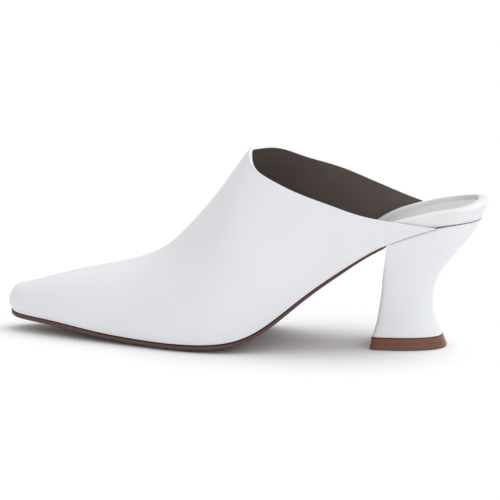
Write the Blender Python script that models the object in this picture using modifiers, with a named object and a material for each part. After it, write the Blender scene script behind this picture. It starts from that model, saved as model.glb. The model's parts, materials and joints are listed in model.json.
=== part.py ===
"""A closed toe slipper for the left foot: a pointed, high-vamped leather mule on a flared heel.

X runs along the shoe with the toe at -X, Y points to the inner side of the foot and Z is up.
The origin lies on the floor, under the middle of the shoe. "Along" is a share of the length,
0 at the nose and 1 at the back of the footbed.
"""

import math
from collections import namedtuple

import bmesh
import bpy
import numpy as np

# Sizes of the last, in metres.
SHOE_LENGTH = 0.2514
BALL_WIDTH = 0.0765
SEAT_WIDTH = 0.0546
INSTEP_RISE = 0.0909
SEAT_HEIGHT = 0.0668
TOE_SPRING = 0.0058
NOSE_LENGTH = 0.0082
NOSE_LIFT = 0.0058
NOSE_TUCK = 0.0025
SIDE_SWELL = 0.0035
SEAT_ROUND_LENGTH = 0.0360

# Sizes of the sole, the upper and the footbed.
GAP = 0.0003
SOLE_EDGE = 0.0023
SOLE_EDGE_AT_BREAST = 0.0012
SOLE_REVEAL = 0.0004
SOLE_CROWN = 0.0020
SOLE_EDGE_ROUND = 0.0005
BALL_EDGE_LIFT = 0.0011
UPPER_WALL = 0.0018
WING_END_WALL = 0.0012
FOREFOOT_INSOLE = 0.0020
BAND_HEIGHT = 0.0080
BAND_FLARE = 0.0043
RIM_WIDTH = 0.0052
RIM_ROUND = 0.0010
CUP_DEPTH = 0.0040
CUP_WALL_RUN = 0.0008
SOCK_THICKNESS = 0.0017
SOCK_ROUND = 0.0006

# Sizes of the heel.
HEEL_LEAN = 0.0097
HEEL_UNDERCUT = 0.0244
HEEL_PINCH = 0.0143
BREAST_HOLLOW = 0.0012
TOP_PIECE_HEIGHT = 0.0062
TOP_PIECE_ROUND = 0.0004

# Places along the shoe, as shares of its length.
BREAST = 0.802
CROWN_FULL = 0.32
BALL_END = 0.45
THROAT = 0.508
SEAT_START = 0.80
CUP_START = 0.60
CUP_FULL = 0.70
SOCK_START = 0.71
WING_END = 0.90
BAND_FLUSH = 0.935

# Shares of other sizes.
RIM_LEVEL = 0.97
BAND_WAIST, BAND_SHOULDER = 0.45, 0.80
BAND_WAIST_FLARE = 0.55
BASE_PLAN_FROM = 0.60
WIDEST_LEVEL = 0.30
SEAT_POWER = 2.5
SOLE_RINGS = (0.30, 0.55, 0.75, 0.90)

Section = namedtuple("Section", "along lateral medial rise fullness swell ridge")
# Widths are shares of the ball width, and of the seat width behind it; rise is a share of the instep.
LAST = [
    Section(0.00, -0.013, 0.144, 0.145, 2.00, 0.10, 0.078),
    Section(0.03, 0.026, 0.183, 0.166, 2.00, 0.15, 0.078),
    Section(0.10, 0.131, 0.288, 0.226, 2.10, 0.30, 0.078),
    Section(0.20, 0.261, 0.405, 0.323, 2.10, 0.45, 0.072),
    Section(0.30, 0.379, 0.488, 0.413, 2.10, 0.55, 0.065),
    Section(0.35, 0.435, 0.510, 0.497, 2.05, 0.55, 0.062),
    Section(0.40, 0.477, 0.510, 0.638, 2.00, 0.55, 0.066),
    Section(0.45, 0.497, 0.494, 0.799, 2.10, 0.60, 0.078),
    Section(0.51, 0.490, 0.462, 1.006, 2.35, 0.80, 0.098),
    Section(0.60, 0.457, 0.412, 1.070, 2.40, 1.00, 0.088),
    Section(0.70, 0.458, 0.424, 1.010, 2.40, 0.90, 0.045),
    Section(0.80, 0.487, 0.476, 0.920, 2.40, 0.35, 0.012),
    Section(0.90, 0.500, 0.500, 0.860, 2.40, 0.10, 0.000),
    Section(1.00, 0.500, 0.500, 0.840, 2.40, 0.05, 0.000),
]

Seat = namedtuple("Seat", "along toe heel")
# The line where the upper meets the sole: a share of the toe spring and one of the seat's height.
SEAT_LINE = [
    Seat(0.00, 1.22, 0.000),
    Seat(0.03, 1.00, 0.000),
    Seat(0.10, 0.79, 0.000),
    Seat(0.20, 0.33, 0.000),
    Seat(0.30, 0.06, 0.000),
    Seat(0.38, 0.00, 0.001),
    Seat(0.45, 0.00, 0.011),
    Seat(0.50, 0.00, 0.038),
    Seat(0.54, 0.00, 0.098),
    Seat(0.58, 0.00, 0.208),
    Seat(0.64, 0.00, 0.405),
    Seat(0.72, 0.00, 0.631),
    Seat(0.79, 0.00, 0.806),
    Seat(0.84, 0.00, 0.886),
    Seat(0.90, 0.00, 0.965),
    Seat(0.95, 0.00, 0.993),
    Seat(1.00, 0.00, 1.000),
]

Topline = namedtuple("Topline", "turn lateral medial")
# The collar's edge: how far back it lies, against the turn round the section from ridge to sole.
TOPLINE = [
    Topline(0.00, 0.508, 0.508),
    Topline(0.20, 0.517, 0.519),
    Topline(0.31, 0.525, 0.542),
    Topline(0.45, 0.551, 0.582),
    Topline(0.59, 0.596, 0.633),
    Topline(0.70, 0.643, 0.691),
    Topline(0.82, 0.711, 0.755),
    Topline(0.90, 0.763, 0.806),
    Topline(0.95, 0.814, 0.848),
    Topline(1.00, 0.900, 0.900),
]

Band = namedtuple("Band", "along height flare")
# The footbed's edge: shares of the band's height and of its flare at the back.
BAND = [
    Band(0.55, 0.25, 0.00),
    Band(0.60, 0.38, 0.00),
    Band(0.65, 0.63, 0.00),
    Band(0.70, 0.94, 0.00),
    Band(0.75, 1.19, 0.00),
    Band(0.80, 1.27, 0.00),
    Band(0.84, 1.18, 0.02),
    Band(0.88, 1.04, 0.10),
    Band(0.92, 0.97, 0.28),
    Band(0.96, 1.08, 0.65),
    Band(1.00, 1.42, 1.00),
]

HeelRow = namedtuple("HeelRow", "drop lean undercut pinch")
# The heel's profile from the seat, 0, to the floor, 1.
HEEL = [
    HeelRow(0.00, 0.00, 0.00, 0.00),
    HeelRow(0.06, 0.05, 0.09, 0.10),
    HeelRow(0.14, 0.12, 0.22, 0.25),
    HeelRow(0.25, 0.22, 0.48, 0.48),
    HeelRow(0.33, 0.29, 0.65, 0.65),
    HeelRow(0.44, 0.38, 0.86, 0.84),
    HeelRow(0.56, 0.47, 0.98, 0.97),
    HeelRow(0.67, 0.56, 1.00, 1.00),
    HeelRow(0.80, 0.69, 0.93, 0.92),
    HeelRow(0.90, 0.86, 0.80, 0.78),
    HeelRow(1.00, 1.00, 0.69, 0.68),
]

Breast = namedtuple("Breast", "back seat base hollow")
# The heel's front face and its corner: how far back, how far across at the seat and at the base.
BREAST_FACE = [
    Breast(0.00, 0.30, 0.30, 1.00),
    Breast(0.00, 0.65, 0.62, 0.60),
    Breast(0.00, 0.974, 0.86, 0.00),
    Breast(0.03, None, 0.95, 0.00),
    Breast(0.10, None, 0.995, 0.00),
]

# How finely the solids are cut into facets.
UPPER_ROWS = 36
UPPER_HALF_COLUMNS = 17
NOSE_ROWS = (0.12, 0.3, 0.6)
NOSE_CROWDING = 1.6
SOLE_STATIONS = 44
FOOTBED_STATIONS = 50
SOCK_STATIONS = 24
HEEL_LEVELS = 15
HEEL_BACK_POINTS = 12
TOE_CLEARANCE = 0.010


def smooth_curve(rows, column):
    """A natural cubic spline through one column of a table, against the table's first column."""
    knots = np.array([row[0] for row in rows])
    values = np.array([getattr(row, column) for row in rows])
    gaps = np.diff(knots)
    slopes = np.diff(values) / gaps
    matrix = np.eye(len(knots))
    right = np.zeros(len(knots))
    for i in range(1, len(knots) - 1):
        matrix[i, i - 1 : i + 2] = gaps[i - 1], 2 * (gaps[i - 1] + gaps[i]), gaps[i]
        right[i] = 6 * (slopes[i] - slopes[i - 1])
    bends = np.linalg.solve(matrix, right)

    def read(place):
        place = min(max(place, knots[0]), knots[-1])
        i = min(int(np.searchsorted(knots, place, side="right")) - 1, len(gaps) - 1)
        near, far = (knots[i + 1] - place) / gaps[i], (place - knots[i]) / gaps[i]
        bend = (near**3 - near) * bends[i] + (far**3 - far) * bends[i + 1]
        return float(near * values[i] + far * values[i + 1] + bend * gaps[i] ** 2 / 6)

    return read


def eased(place, start, end):
    """0 before start, 1 after end, and a smooth rise between them."""
    share = min(max((place - start) / (end - start), 0.0), 1.0)
    return share * share * (3 - 2 * share)


def mixed(first, second, share):
    return first + (second - first) * share


lateral_share = smooth_curve(LAST, "lateral")
medial_share = smooth_curve(LAST, "medial")
rise_share = smooth_curve(LAST, "rise")
fullness_at = smooth_curve(LAST, "fullness")
swell_share = smooth_curve(LAST, "swell")
ridge_share = smooth_curve(LAST, "ridge")
toe_share = smooth_curve(SEAT_LINE, "toe")
heel_share = smooth_curve(SEAT_LINE, "heel")
lateral_topline = smooth_curve(TOPLINE, "lateral")
medial_topline = smooth_curve(TOPLINE, "medial")
band_height_share = smooth_curve(BAND, "height")
band_flare_share = smooth_curve(BAND, "flare")
lean_share = smooth_curve(HEEL, "lean")
undercut_share = smooth_curve(HEEL, "undercut")
pinch_share = smooth_curve(HEEL, "pinch")

LATERAL, MEDIAL = -1, 1
NOSE_END = NOSE_LENGTH / SHOE_LENGTH
SEAT_END = 1 - BAND_FLARE / SHOE_LENGTH
SEAT_ROUND = SEAT_END - SEAT_ROUND_LENGTH / SHOE_LENGTH
LOWEST_SEAT_LINE = BALL_EDGE_LIFT + SOLE_EDGE + GAP


def place_along(share):
    return SHOE_LENGTH * (share - 0.5)


def share_of_place(x):
    return x / SHOE_LENGTH + 0.5


def nose_round(along):
    """The quarter ellipse that closes the nose: 0 at the tip and 1 behind the rounding."""
    return math.sqrt(max(1 - (1 - min(along / NOSE_END, 1)) ** 2, 0))


def seat_round(along):
    """The round back of the heel seat, seen from above: 1 in front of it and 0 at its end."""
    share = min(max((along - SEAT_ROUND) / (SEAT_END - SEAT_ROUND), 0), 1)
    return (1 - share**SEAT_POWER) ** (1 / SEAT_POWER)


def girth(along):
    return mixed(BALL_WIDTH, SEAT_WIDTH, eased(along, BALL_END, SEAT_START))


def outline_y(along, side):
    """The plan of the last's lower edge on one side of the foot."""
    lateral = lateral_share(along) * girth(along)
    medial = medial_share(along) * girth(along)
    middle, half = (medial - lateral) / 2, (medial + lateral) / 2
    return middle + side * half * nose_round(along) * seat_round(along)


def seat_line(along):
    """The height of the edge where the upper meets the sole."""
    climb = SEAT_HEIGHT - LOWEST_SEAT_LINE
    return LOWEST_SEAT_LINE + TOE_SPRING * toe_share(along) + climb * heel_share(along)


def last_point(along, turn):
    """A point of the upper's outer face: turn is 0 on the ridge, -1 and 1 at the two lower edges."""
    side = LATERAL if turn < 0 else MEDIAL
    angle = abs(turn) * math.pi / 2
    power = 2 / fullness_at(along)
    across, up = math.sin(angle) ** power, max(math.cos(angle), 0) ** power
    middle = (outline_y(along, LATERAL) + outline_y(along, MEDIAL)) / 2
    ridge = mixed(middle, ridge_share(along) * BALL_WIDTH, nose_round(along))
    swell = SIDE_SWELL * swell_share(along) * nose_round(along) * side_swell(up)
    y = mixed(ridge, outline_y(along, side), across) + side * swell
    rise = INSTEP_RISE * rise_share(along) * up * nose_round(along)
    tucked = nose_tuck(along) * max(1 - rise / NOSE_LIFT, 0) ** 2
    return place_along(along) + tucked, y, seat_line(along) + rise


def side_swell(up):
    """How the wall stands out over the sole: nothing at the edge, most a third of the way up."""
    share = up / WIDEST_LEVEL
    return share * math.exp(1 - share) * (1 - up * up)


def nose_tuck(along):
    """How far the lower edge lies behind the foremost point of the nose above it."""
    return NOSE_TUCK * (1 - nose_round(along) ** 2)


def topline(turn):
    return lateral_topline(-turn) if turn < 0 else medial_topline(turn)


def outward(along, side):
    """The outline's outward direction in plan, as (x, y)."""
    step = 1e-4
    ahead, behind = min(along + step, SEAT_END), max(along - step, 0)
    run = place_along(ahead) + nose_tuck(ahead) - place_along(behind) - nose_tuck(behind)
    climb = outline_y(ahead, side) - outline_y(behind, side)
    size = math.hypot(run, climb)
    return -side * climb / size, side * run / size


def offset_point(along, side, distance, height):
    """A point at a distance outside the outline, in plan, and at a height."""
    x, y = outward(along, side)
    edge = place_along(along) + nose_tuck(along)
    return edge + x * distance, outline_y(along, side) + y * distance, height


def stations(start, end, count, round_end=True):
    """Shares of the length, crowded at the round tip and, where it is round, at the back."""
    last = math.pi if round_end else math.pi / 2
    places = []
    for i in range(count):
        angle = last * (i + 0.5) / count if round_end else last * (i + 0.5) / (count - 0.5)
        reach = (1 - math.cos(angle)) / (2 if round_end else 1)
        places.append(mixed(start, end, reach))
    return places


def loop_of(places, point):
    """A closed ring: back along the lateral side and forward along the medial one."""
    lateral = [point(place, LATERAL) for place in places]
    medial = [point(place, MEDIAL) for place in places]
    return lateral + medial[::-1]


def add_object(name, mesh, colour, roughness):
    material = bpy.data.materials.new(name)
    material.use_nodes = True
    shader = material.node_tree.nodes["Principled BSDF"]
    shader.inputs["Base Color"].default_value = (*colour, 1)
    shader.inputs["Roughness"].default_value = roughness
    shader.inputs["Metallic"].default_value = 0
    mesh.materials.append(material)
    mesh.shade_smooth()
    mesh.set_sharp_from_angle(angle=math.radians(40))
    piece = bpy.data.objects.new(name, mesh)
    COLLECTION.objects.link(piece)
    return piece


def lofted_mesh(name, rings):
    """A closed solid through rings that go from the bottom to the top, with a ladder of faces at each end."""
    mesh = bpy.data.meshes.new(name)
    bm = bmesh.new()
    loops = [[bm.verts.new(point) for point in ring] for ring in rings]
    count = len(loops[0])
    for lower, upper in zip(loops, loops[1:]):
        for k in range(count):
            after = (k + 1) % count
            bm.faces.new((lower[k], lower[after], upper[after], upper[k]))
    for k in range(count // 2 - 1):
        across, beyond = count - 1 - k, count - 2 - k
        top, bottom = loops[-1], loops[0]
        bm.faces.new((top[k], top[k + 1], top[beyond], top[across]))
        bm.faces.new((bottom[across], bottom[beyond], bottom[k + 1], bottom[k]))
    bm.to_mesh(mesh)
    bm.free()
    return mesh


def make_upper():
    """A fan of sections from the nose to the collar, on the last, with its wall laid inside it."""
    turns = []
    for k in range(-UPPER_HALF_COLUMNS, UPPER_HALF_COLUMNS + 1):
        even = k / UPPER_HALF_COLUMNS
        turns.append((even + math.sin(even * math.pi / 2)) / 2)
    bm = bmesh.new()
    nose = bm.verts.new(last_point(0, 0))
    rows = []
    shares = []
    for i in NOSE_ROWS + tuple(range(1, UPPER_ROWS + 1)):
        reach = (i / UPPER_ROWS) ** NOSE_CROWDING
        places = [reach * topline(turn) for turn in turns]
        rows.append([bm.verts.new(last_point(place, turn)) for place, turn in zip(places, turns)])
        shares += places
    for k in range(len(turns) - 1):
        bm.faces.new((nose, rows[0][k], rows[0][k + 1]))
        for front, back in zip(rows, rows[1:]):
            bm.faces.new((front[k], back[k], back[k + 1], front[k + 1]))
    mesh = bpy.data.meshes.new("upper")
    bm.to_mesh(mesh)
    bm.free()
    upper = add_object("upper", mesh, (0.80, 0.81, 0.82), 0.35)
    skived = upper.vertex_groups.new(name="wall")
    thinnest = WING_END_WALL / UPPER_WALL
    for index, share in enumerate([0.0] + shares):
        skived.add([index], mixed(1, thinnest, eased(share, SEAT_START, WING_END)), "REPLACE")
    wall = upper.modifiers.new("wall", "SOLIDIFY")
    wall.thickness = UPPER_WALL
    wall.offset = -1
    wall.use_even_offset = True
    wall.vertex_group = skived.name


def sole_thickness(along):
    return mixed(SOLE_EDGE, SOLE_EDGE_AT_BREAST, eased(along, CUP_START, BREAST))


def sole_bottom(along, across):
    """The sole's underside, crowned across the foot and flat where it would pass the floor."""
    edge = seat_line(along) - GAP - sole_thickness(along)
    under_ball = eased(along, NOSE_END, CROWN_FULL) * (1 - eased(along, THROAT, BREAST))
    return max(edge - SOLE_CROWN * under_ball * (1 - abs(across) ** 3), 0)


def make_outsole():
    lean = HEEL_LEAN * lean_share(2 * SOLE_EDGE_AT_BREAST / SEAT_HEIGHT)
    end = BREAST - (GAP + lean) / SHOE_LENGTH
    places = stations(0, end, SOLE_STATIONS, round_end=False)

    def crowned(across):
        def point(place, side):
            x, y, _ = offset_point(place, side, 0, 0)
            middle = (outline_y(place, LATERAL) + outline_y(place, MEDIAL)) / 2
            return x, mixed(middle, y, across), sole_bottom(place, across)

        return loop_of(places, point)

    def edge(distance, height):
        return loop_of(places, lambda place, side: offset_point(place, side, distance, height(place)))

    rings = [crowned(across) for across in SOLE_RINGS]
    rings.append(edge(SOLE_REVEAL - SOLE_EDGE_ROUND, lambda place: sole_bottom(place, 1)))
    rings.append(edge(SOLE_REVEAL, lambda place: sole_bottom(place, 1) + SOLE_EDGE_ROUND))
    rings.append(edge(SOLE_REVEAL, lambda place: seat_line(place) - GAP))
    add_object("outsole", lofted_mesh("outsole", rings), (0.22, 0.11, 0.09), 0.55)


def band_inset(along):
    """How far the footbed lies inside the outline: room for the upper, until its wings have ended."""
    return mixed(UPPER_WALL + GAP, SOLE_REVEAL, eased(along, WING_END, BAND_FLUSH))


def footbed_height(along):
    return max(BAND_HEIGHT * band_height_share(along), FOREFOOT_INSOLE)


def cup_depth(along):
    return CUP_DEPTH * eased(along, CUP_START, CUP_FULL)


def make_insole():
    tip = (UPPER_WALL + 3 * GAP) / SHOE_LENGTH
    places = stations(tip, SEAT_END, FOOTBED_STATIONS)

    def ring(inside, height_share, flare_share=0.0, sunk=0.0):
        def point(place, side):
            half = (outline_y(place, MEDIAL) - outline_y(place, LATERAL)) / 2
            room = 1.0 if place > THROAT else min(1.0, half / TOE_CLEARANCE)
            flare = BAND_FLARE * band_flare_share(place) * flare_share
            distance = flare - band_inset(place) - inside * room
            height = seat_line(place) + footbed_height(place) * height_share
            return offset_point(place, side, distance, height - sunk * cup_depth(place))

        return loop_of(places, point)

    rings = [
        ring(0, 0),
        ring(0, BAND_WAIST, BAND_WAIST_FLARE),
        ring(0, BAND_SHOULDER, 1),
        ring(RIM_ROUND, RIM_LEVEL, 1),
        ring(3 * RIM_ROUND, 1, 1),
        ring(RIM_WIDTH, RIM_LEVEL, 1),
        ring(RIM_WIDTH + CUP_WALL_RUN, RIM_LEVEL, 1, 1),
    ]
    add_object("insole", lofted_mesh("insole", rings), (0.78, 0.79, 0.80), 0.4)


def make_sock():
    """The pad in the cup, its outline a step inside the foot of the cup's wall."""
    inside = RIM_WIDTH + CUP_WALL_RUN + GAP
    places = stations(SOCK_START, SEAT_END, SOCK_STATIONS)

    def ring(extra, lift):
        def point(place, side):
            flare = BAND_FLARE * band_flare_share(place)
            floor = seat_line(place) + RIM_LEVEL * footbed_height(place) - cup_depth(place)
            return offset_point(place, side, flare - band_inset(place) - inside - extra, floor + lift)

        return loop_of(places, point)

    rings = [ring(0, GAP), ring(0, SOCK_THICKNESS), ring(SOCK_ROUND, GAP + SOCK_THICKNESS)]
    add_object("sock", lofted_mesh("sock", rings), (0.62, 0.61, 0.60), 0.6)


def heel_ring(drop, base_share, height):
    """One level of the heel: drop reads the profile, base_share goes from the seat's plan to the base's."""
    front = place_along(BREAST) - HEEL_LEAN * lean_share(drop)
    back = place_along(SEAT_END) - HEEL_UNDERCUT * undercut_share(drop)
    half = SEAT_WIDTH / 2 - HEEL_PINCH * pinch_share(drop)
    rows = list(BREAST_FACE)
    corner = rows[-1].back
    for k in range(1, HEEL_BACK_POINTS + 1):
        angle = math.pi / 2 * k / (HEEL_BACK_POINTS + 0.5)
        power = 2 / SEAT_POWER
        across = math.cos(angle) ** power
        rows.append(Breast(mixed(corner, 1, math.sin(angle) ** power), None, across, 0.0))
    ring = []
    for side, order in ((LATERAL, rows), (MEDIAL, rows[::-1])):
        for row in order:
            seat_x = mixed(place_along(BREAST), place_along(SEAT_END), row.back)
            seat_along = share_of_place(seat_x)
            seat = row.seat or abs(outline_y(seat_along, side)) / (SEAT_WIDTH / 2)
            x = mixed(front, back, row.back) + BREAST_HOLLOW * row.hollow * base_share
            y = side * half * mixed(seat, row.base, base_share)
            ring.append((x, y, height(seat_along)))
    return ring


def make_heel():
    joint = TOP_PIECE_HEIGHT / SEAT_HEIGHT
    rings = []
    for level in range(HEEL_LEVELS, -1, -1):
        share = level / HEEL_LEVELS

        def height(along):
            return mixed(seat_line(along) - GAP, TOP_PIECE_HEIGHT, share)

        rings.append(heel_ring(share * (1 - joint), eased(share, 0, BASE_PLAN_FROM), height))
    add_object("heel", lofted_mesh("heel", rings), (0.80, 0.81, 0.82), 0.35)


def make_top_piece():
    levels = (0, TOP_PIECE_ROUND, TOP_PIECE_HEIGHT / 2, TOP_PIECE_HEIGHT - GAP)
    rings = []
    for level in levels:
        pulled_in = TOP_PIECE_ROUND if level == 0 else 0
        ring = heel_ring(1 - level / SEAT_HEIGHT, 1, lambda along: level)
        middle = sum(point[0] for point in ring) / len(ring)
        shrink = 1 - pulled_in / (SEAT_WIDTH / 4)
        rings.append([(mixed(middle, x, shrink), y * shrink, z) for x, y, z in ring])
    add_object("top_piece", lofted_mesh("top_piece", rings), (0.25, 0.08, 0.035), 0.5)


for leftover in list(bpy.data.objects):
    bpy.data.objects.remove(leftover)
COLLECTION = bpy.data.collections.new("closed_toe_slipper")
bpy.context.scene.collection.children.link(COLLECTION)
make_upper()
make_outsole()
make_insole()
make_sock()
make_heel()
make_top_piece()
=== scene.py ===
# %% [markdown]
# # A closed toe slipper, dressed for its portrait
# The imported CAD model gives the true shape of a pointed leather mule: its upper, sole, footbed,
# sock, heel and heel tip. This lesson lays the finished surfaces over that frame: smooth white
# leather, a taupe lining, a pale grey sock, a brown sole and a waxed heel tip.
#
# The frame is loaded first, and its size is kept, so that the dressed shoe can be held against it.

import json
import math

import bpy
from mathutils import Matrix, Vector

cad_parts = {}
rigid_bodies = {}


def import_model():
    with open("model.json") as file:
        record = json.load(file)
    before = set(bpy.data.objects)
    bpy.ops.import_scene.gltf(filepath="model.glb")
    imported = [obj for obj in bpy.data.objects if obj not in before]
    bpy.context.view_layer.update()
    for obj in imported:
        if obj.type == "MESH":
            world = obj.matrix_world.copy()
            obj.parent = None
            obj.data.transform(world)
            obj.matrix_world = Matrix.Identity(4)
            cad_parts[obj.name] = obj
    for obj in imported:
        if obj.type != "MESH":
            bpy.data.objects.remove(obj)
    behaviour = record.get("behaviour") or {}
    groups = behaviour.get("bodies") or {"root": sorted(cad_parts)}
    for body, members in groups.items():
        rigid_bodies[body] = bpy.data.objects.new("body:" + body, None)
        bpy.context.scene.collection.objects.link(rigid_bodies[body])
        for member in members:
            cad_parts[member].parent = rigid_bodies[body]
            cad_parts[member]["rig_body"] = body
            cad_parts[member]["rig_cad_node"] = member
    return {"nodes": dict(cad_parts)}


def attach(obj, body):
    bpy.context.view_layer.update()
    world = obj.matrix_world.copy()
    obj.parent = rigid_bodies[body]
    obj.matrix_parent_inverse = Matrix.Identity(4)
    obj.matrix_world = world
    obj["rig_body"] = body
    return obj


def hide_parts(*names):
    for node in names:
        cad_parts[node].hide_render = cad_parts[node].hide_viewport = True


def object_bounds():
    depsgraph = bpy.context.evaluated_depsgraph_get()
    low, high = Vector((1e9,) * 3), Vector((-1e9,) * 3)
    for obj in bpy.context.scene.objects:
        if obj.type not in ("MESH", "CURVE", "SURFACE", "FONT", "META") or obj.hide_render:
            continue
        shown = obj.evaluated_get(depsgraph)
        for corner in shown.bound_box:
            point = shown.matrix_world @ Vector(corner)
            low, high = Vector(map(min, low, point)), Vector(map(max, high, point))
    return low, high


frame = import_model()
cad_low, cad_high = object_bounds()
SHOE_LENGTH = cad_high.x - cad_low.x
SHOE_HEIGHT = cad_high.z - cad_low.z
MM = 0.001
print("nodes:", sorted(frame["nodes"]), "length, mm:", round(SHOE_LENGTH / MM, 1))

# %% [markdown]
# ## The camera
# A shoe portrait is taken from far off with a long lens, so that the heel and the toe keep their
# true proportions. The camera stands 1.3 m away, 9 degrees round towards the heel and 11 degrees
# above the floor, which shows the footbed behind the collar.

# %% Camera
TURN, LIFT, DISTANCE = math.radians(9), math.radians(11), 1.3
LENS_MM, SENSOR_MM = 183.5, 36
target = Vector((0.0033, 0.0, 0.0461))
towards = Vector(
    (math.sin(TURN) * math.cos(LIFT), -math.cos(TURN) * math.cos(LIFT), math.sin(LIFT))
)
bpy.ops.object.camera_add(location=target + DISTANCE * towards)
camera = bpy.context.active_object
camera.name = "portrait_camera"
camera.rotation_euler = (-towards).to_track_quat("-Z", "Y").to_euler()
camera.data.sensor_width = SENSOR_MM
camera.data.lens = LENS_MM
bpy.context.scene.camera = camera
print("camera at", [round(c, 3) for c in camera.location])

# %% [markdown]
# ## Copies of the CAD pieces
# Every leather piece of the shoe is stretched over a form, so its surface is one smooth sweep. The
# CAD solids have the right shape in flat facets. A copy of a node is merged, its triangles are
# joined back into the four-sided faces that they came from, and a subdivision surface then
# rounds them. Its edges are marked first, because a marked edge stays at or near its CAD place.

# %% A helper that selects one object
def choose(piece):
    if bpy.context.mode != "OBJECT":
        bpy.ops.object.mode_set(mode="OBJECT")
    bpy.ops.object.select_all(action="DESELECT")
    piece.select_set(True)
    bpy.context.view_layer.objects.active = piece


# %% A helper that copies a CAD node as clean four-sided faces
MERGE_WITHIN = 0.001 * MM
FACE_LIMIT, SHAPE_LIMIT = math.radians(60), math.radians(120)


def merged_copy(node_name, name):
    choose(frame["nodes"][node_name])
    bpy.ops.object.duplicate()
    piece = bpy.context.active_object
    piece.name = piece.data.name = name
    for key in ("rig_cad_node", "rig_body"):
        del piece[key]
    piece.data.materials.clear()
    bpy.ops.object.mode_set(mode="EDIT")
    bpy.ops.mesh.select_all(action="SELECT")
    bpy.ops.mesh.remove_doubles(threshold=MERGE_WITHIN)
    bpy.ops.mesh.tris_convert_to_quads(
        face_threshold=FACE_LIMIT, shape_threshold=SHAPE_LIMIT, topology_influence=1.0
    )
    bpy.ops.mesh.faces_shade_smooth()
    bpy.ops.object.mode_set(mode="OBJECT")
    print(name, "starts with", len(piece.data.polygons), "faces")
    return piece


# %% A helper that marks the edges sharper than an angle
SHARP_DEGREES = 50


def mark_edges(piece, strength, degrees=SHARP_DEGREES):
    choose(piece)
    bpy.ops.object.mode_set(mode="EDIT")
    bpy.ops.mesh.select_mode(type="EDGE")
    bpy.ops.mesh.select_all(action="DESELECT")
    bpy.ops.mesh.edges_select_sharp(sharpness=math.radians(degrees))
    bpy.ops.mesh.mark_sharp()
    bpy.ops.transform.edge_crease(value=strength)
    bpy.ops.object.mode_set(mode="OBJECT")


# %% Helpers that apply a modifier once its settings are made
ROUND_LEVELS = 2


def add_and_apply(piece, kind, **settings):
    choose(piece)
    modifier = piece.modifiers.new(kind.lower(), kind)
    for key, value in settings.items():
        setattr(modifier, key, value)
    bpy.ops.object.modifier_apply(modifier=modifier.name)


def round_off(piece):
    add_and_apply(piece, "SUBSURF", levels=ROUND_LEVELS, render_levels=ROUND_LEVELS)


# %% A helper that turns an edge into a small round
def soften_edges(piece, width, segments=3, degrees=40):
    add_and_apply(
        piece,
        "BEVEL",
        width=width,
        segments=segments,
        limit_method="ANGLE",
        angle_limit=math.radians(degrees),
        use_clamp_overlap=True,
    )
    choose(piece)
    bpy.ops.object.shade_smooth()


# %% [markdown]
# ## Leather as a material
# Smooth shoe leather has a satin finish: a sheet of pigment with fine pores under a thin polish. The
# shader mixes two near colours in broad soft clouds, varies the gloss a little, and adds a fine
# pebble of cells and a finer noise as bump, all in the object's own metres, so that the grain
# keeps its real size on every piece.

# %% A helper that builds a leather material
CLOUDS_PER_METRE = 35
GLOSS_SWING = 0.05


def leather(name, colour, shade, roughness, grain=0.9, depth=0.03, coat=0.0):
    """Grain, the width of a pebble, and depth, the bump's distance, are in millimetres."""
    material = bpy.data.materials.new(name)
    material.use_nodes = True
    nodes, links = material.node_tree.nodes, material.node_tree.links
    shader = nodes["Principled BSDF"]
    shader.inputs["Coat Weight"].default_value = coat
    shader.inputs["Coat Roughness"].default_value = 0.25
    place = nodes.new("ShaderNodeTexCoord")

    clouds = nodes.new("ShaderNodeTexNoise")
    clouds.inputs["Scale"].default_value = CLOUDS_PER_METRE
    clouds.inputs["Detail"].default_value = 3
    links.new(place.outputs["Object"], clouds.inputs["Vector"])
    tint = nodes.new("ShaderNodeMix")
    tint.data_type = "RGBA"
    tint.inputs["A"].default_value = (*colour, 1)
    tint.inputs["B"].default_value = (*shade, 1)
    links.new(clouds.outputs["Fac"], tint.inputs["Factor"])
    links.new(tint.outputs["Result"], shader.inputs["Base Color"])

    polish = nodes.new("ShaderNodeMapRange")
    polish.inputs["From Min"].default_value = 0.3
    polish.inputs["From Max"].default_value = 0.7
    polish.inputs["To Min"].default_value = roughness - GLOSS_SWING
    polish.inputs["To Max"].default_value = roughness + GLOSS_SWING
    links.new(clouds.outputs["Fac"], polish.inputs["Value"])
    links.new(polish.outputs["Result"], shader.inputs["Roughness"])

    pebbles = nodes.new("ShaderNodeTexVoronoi")
    pebbles.feature = "SMOOTH_F1"
    pebbles.inputs["Scale"].default_value = 1 / (grain * MM)
    pebbles.inputs["Smoothness"].default_value = 0.6
    links.new(place.outputs["Object"], pebbles.inputs["Vector"])
    pores = nodes.new("ShaderNodeTexNoise")
    pores.inputs["Scale"].default_value = 2.5 / (grain * MM)
    pores.inputs["Detail"].default_value = 2
    links.new(place.outputs["Object"], pores.inputs["Vector"])
    both = nodes.new("ShaderNodeMath")
    both.operation = "ADD"
    links.new(pebbles.outputs["Distance"], both.inputs[0])
    links.new(pores.outputs["Fac"], both.inputs[1])
    bump = nodes.new("ShaderNodeBump")
    bump.inputs["Strength"].default_value = 0.5
    bump.inputs["Distance"].default_value = depth * MM
    links.new(both.outputs["Value"], bump.inputs["Height"])
    links.new(bump.outputs["Normal"], shader.inputs["Normal"])
    return material


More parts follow.
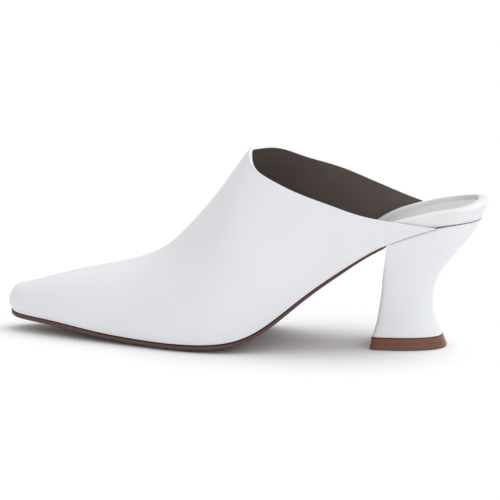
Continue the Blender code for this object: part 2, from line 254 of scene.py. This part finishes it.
# %% The shoe's leathers
white_leather = leather(
    "white upper leather", (0.80, 0.815, 0.84), (0.76, 0.775, 0.80), 0.42, coat=0.12
)
footbed_leather = leather(
    "white footbed leather", (0.80, 0.812, 0.83), (0.76, 0.772, 0.79), 0.45
)
lining_leather = leather(
    "taupe lining leather",
    (0.135, 0.105, 0.092),
    (0.105, 0.080, 0.070),
    0.62,
    grain=1.1,
    depth=0.05,
)
sock_leather = leather(
    "pale grey sock leather",
    (0.60, 0.60, 0.60),
    (0.55, 0.55, 0.55),
    0.58,
    grain=1.0,
    depth=0.04,
)
sole_leather = leather(
    "brown sole leather",
    (0.115, 0.047, 0.036),
    (0.075, 0.030, 0.026),
    0.50,
    grain=0.7,
    depth=0.04,
)
print("leathers:", [m.name for m in bpy.data.materials if "leather" in m.name])

# %% [markdown]
# ## Stacked leather for the heel tip
# The tip is built up from thin layers of sole leather, pressed, trimmed and waxed. Its side shows
# faint level lines. The same leather material is made browner, and a wave along Z is added that
# darkens each joint between two layers.

# %% Heel tip material
tip_leather = leather(
    "waxed tip leather",
    (0.185, 0.058, 0.024),
    (0.130, 0.038, 0.017),
    0.42,
    grain=0.7,
    depth=0.04,
    coat=0.2,
)
nodes, links = tip_leather.node_tree.nodes, tip_leather.node_tree.links
layers = nodes.new("ShaderNodeTexWave")
layers.bands_direction = "Z"
layers.inputs["Scale"].default_value = 95
layers.inputs["Distortion"].default_value = 0.6
layers.inputs["Detail"].default_value = 2
place = next(node for node in nodes if node.type == "TEX_COORD")
links.new(place.outputs["Object"], layers.inputs["Vector"])
joint_lines = nodes.new("ShaderNodeMapRange")
joint_lines.inputs["From Min"].default_value = 0.0
joint_lines.inputs["From Max"].default_value = 0.35
joint_lines.inputs["To Min"].default_value = 0.78
joint_lines.inputs["To Max"].default_value = 1.0
links.new(layers.outputs["Fac"], joint_lines.inputs["Value"])
darkened = nodes.new("ShaderNodeMix")
darkened.data_type = "RGBA"
darkened.blend_type = "MULTIPLY"
darkened.inputs["Factor"].default_value = 1
tint = next(node for node in nodes if node.type == "MIX" and node != darkened)
links.new(tint.outputs["Result"], darkened.inputs["A"])
links.new(joint_lines.outputs["Result"], darkened.inputs["B"])
links.new(darkened.outputs["Result"], nodes["Principled BSDF"].inputs["Base Color"])

# %% [markdown]
# ## The upper
# The real upper is one vamp of calfskin, lasted wet over the form, so it has no wrinkles, only soft
# hollows where the toe rises into the instep. The copy of the CAD upper is rounded here. Its edges
# get the small radius of a turned leather edge once the lining has been taken from it.

# %% Round the upper
upper = merged_copy("upper", "upper_leather")
mark_edges(upper, 1.0)
round_off(upper)
print("upper:", len(upper.data.polygons), "faces")

# %% [markdown]
# ### Soft troughs
# Where a lasted vamp bends from the toe into the instep it keeps a few soft troughs. Each is placed
# from three given points of the side view: shares of the shoe's length and height. A ray finds
# the leather there, and the points near that line move a little inwards.

# %% A helper that presses a soft line into leather
BESIDE_SHOE = 0.2


def press_line(piece, side, points, depth, reach):
    path = []
    for along, height in points:
        start_x = cad_low.x + along * SHOE_LENGTH
        start = Vector((start_x, side * BESIDE_SHOE, height * SHOE_HEIGHT))
        hit, place, normal, _ = piece.ray_cast(start, Vector((0, -side, 0)))
        if hit:
            path.append((place, normal))
    moved = 0
    for vertex in piece.data.vertices:
        nearest, strength = None, 0
        for (a, normal_a), (b, normal_b) in zip(path, path[1:]):
            share = min(max((vertex.co - a).dot(b - a) / (b - a).length_squared, 0), 1)
            gap = (vertex.co - a.lerp(b, share)).length / reach
            if gap < 1 and (1 - gap * gap) ** 2 > strength:
                nearest, strength = normal_a.lerp(normal_b, share), (1 - gap * gap) ** 2
        if nearest:
            vertex.co -= nearest * depth * strength
            moved += 1
    return moved


# %% The shoe's troughs
OUTER_SIDE, INNER_SIDE = -1, 1
TROUGH_REACH = 15 * MM
VAMP_BREAK = [(0.385, 0.47), (0.375, 0.38), (0.400, 0.30)]
BELOW_THROAT = [(0.455, 0.72), (0.435, 0.56), (0.430, 0.45)]
for side, points, depth in (
    (OUTER_SIDE, VAMP_BREAK, 0.45 * MM),
    (OUTER_SIDE, BELOW_THROAT, 0.35 * MM),
    (INNER_SIDE, VAMP_BREAK, 0.40 * MM),
    (INNER_SIDE, BELOW_THROAT, 0.30 * MM),
):
    print("trough moved", press_line(upper, side, points, depth, TROUGH_REACH), "points")

# %% [markdown]
# ### The lining
# A thin taupe lining is glued inside the leather, up to its top edge. It is made from the inner
# face of the upper: a copy keeps only that face, which its sharp edges bound, and a Solidify
# modifier gives it its thickness.

# %% Keep the inner face of the upper
choose(upper)
bpy.ops.object.duplicate()
lining = bpy.context.active_object
lining.name = lining.data.name = "lining"
inside_ball = Vector((-0.02, 0.0, 0.03))
inner_seed = lining.closest_point_on_mesh(inside_ball)[3]
bpy.ops.object.mode_set(mode="EDIT")
bpy.ops.mesh.select_mode(type="EDGE")
bpy.ops.mesh.select_all(action="DESELECT")
bpy.ops.mesh.edges_select_sharp(sharpness=math.radians(SHARP_DEGREES))
bpy.ops.mesh.mark_sharp()
bpy.ops.mesh.select_mode(type="FACE")
bpy.ops.mesh.select_all(action="DESELECT")
bpy.ops.object.mode_set(mode="OBJECT")
lining.data.polygons[inner_seed].select = True
bpy.ops.object.mode_set(mode="EDIT")
bpy.ops.mesh.select_linked(delimit={"SHARP"})
bpy.ops.mesh.select_all(action="INVERT")
bpy.ops.mesh.delete(type="FACE")
bpy.ops.object.mode_set(mode="OBJECT")
print("lining:", len(lining.data.polygons), "faces of", len(upper.data.polygons))

# %% Finish the upper and the lining
EDGE_ROUND, LINING_THICKNESS = 0.4 * MM, 0.35 * MM
soften_edges(upper, EDGE_ROUND)
upper.data.materials.append(white_leather)
add_and_apply(lining, "SOLIDIFY", thickness=LINING_THICKNESS, offset=1.0)
lining.data.materials.append(lining_leather)

# %% [markdown]
# ## The sole
# The sole is a thin cut of firm leather, stained at its edge. A copy of the CAD sole is rounded with
# its edges held.

# %% Sole
sole = merged_copy("outsole", "sole")
mark_edges(sole, 0.9, degrees=30)
round_off(sole)
sole.data.materials.append(sole_leather)
choose(sole)
bpy.ops.object.shade_smooth_by_angle(angle=math.radians(35))

# %% [markdown]
# ## The footbed
# Leather is wrapped round a board and its padding, up over a rounded rim and down into the shallow
# cup that holds the sock.

# %% Footbed
footbed = merged_copy("insole", "footbed")
mark_edges(footbed, 0.8)
round_off(footbed)
footbed.data.materials.append(footbed_leather)

# %% [markdown]
# ## The sock
# The heel sock is thin leather over a sheet of foam, 1.7 mm in all. Its copy is rounded like the
# others, with its edge nearly held, and is not blown up as cloth.

# %% Sock
sock = merged_copy("sock", "sock_pad")
mark_edges(sock, 0.8)
round_off(sock)
sock.data.materials.append(sock_leather)

# %% [markdown]
# ## The heel
# A block of wood or plastic is wrapped in the same white leather, pulled tight round its waist. Its
# edges are nearly held while the copy is rounded.

# %% Heel
heel = merged_copy("heel", "heel_cover")
mark_edges(heel, 0.9)
round_off(heel)
heel.data.materials.append(white_leather)

# %% [markdown]
# ## The heel tip
# The tip is rounded like the heel, and its rims stay nearly crisp, as a trimmed edge is.

# %% Heel tip
tip = merged_copy("top_piece", "heel_tip")
mark_edges(tip, 0.9)
round_off(tip)
tip.data.materials.append(tip_leather)

# %% [markdown]
# ## Which piece stands for what
# Every piece rides on the shoe's one body and stands for its CAD solid.

# %% Ride and replace; the finish names listed here are not used
for piece, node, finish in (
    (upper, "upper", "upper_leather"),
    (sole, "outsole", "sole_leather"),
    (footbed, "insole", "footbed_leather"),
    (sock, "sock", "sock_leather"),
    (heel, "heel", "heel_leather"),
    (tip, "top_piece", "heel_tip"),
):
    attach(piece, "root")
    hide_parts(node)
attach(lining, "root")

# %% [markdown]
# ## The floor and the light
# A white floor and a bright room, darker on the toe's side, make the plain look of the portrait. A
# wide soft lamp above and a weaker one in front keep the form readable.

# %% Floor
bpy.ops.mesh.primitive_plane_add(size=6, location=(0, 0, 0))
floor = bpy.context.active_object
floor.name = "floor"
floor_paint = bpy.data.materials.new("pale floor")
floor_paint.use_nodes = True
paint = floor_paint.node_tree.nodes["Principled BSDF"]
paint.inputs["Base Color"].default_value = (0.93, 0.93, 0.93, 1)
paint.inputs["Roughness"].default_value = 0.9
floor.data.materials.append(floor_paint)

# %% Light
bpy.context.scene.view_settings.view_transform = "Standard"
world = bpy.data.worlds.new("bright room")
bpy.context.scene.world = world
world.use_nodes = True
nodes, links = world.node_tree.nodes, world.node_tree.links
direction = nodes.new("ShaderNodeTexCoord")
split = nodes.new("ShaderNodeSeparateXYZ")
links.new(direction.outputs["Generated"], split.inputs["Vector"])
walls = nodes.new("ShaderNodeMapRange")
walls.inputs["From Min"].default_value = -1
walls.inputs["From Max"].default_value = 1
walls.inputs["To Min"].default_value = 0.62
walls.inputs["To Max"].default_value = 1.02
links.new(split.outputs["X"], walls.inputs["Value"])
links.new(walls.outputs["Result"], nodes["Background"].inputs["Strength"])
nodes["Background"].inputs["Color"].default_value = (1, 1, 1, 1)


def lamp(name, towards_lamp, strength, spread):
    bpy.ops.object.light_add(type="SUN", location=(0, 0, 1))
    light = bpy.context.active_object
    light.name = name
    light.data.energy = strength
    light.data.angle = math.radians(spread)
    light.rotation_euler = Vector(towards_lamp).to_track_quat("Z", "Y").to_euler()


lamp("top lamp", (0.35, 0.25, 1.0), 0.95, 50)
lamp("front lamp", (0.7, -1.0, 0.6), 0.22, 60)

# %% Finish
print("CAD box, mm:", [round(v / MM, 1) for v in cad_high - cad_low])
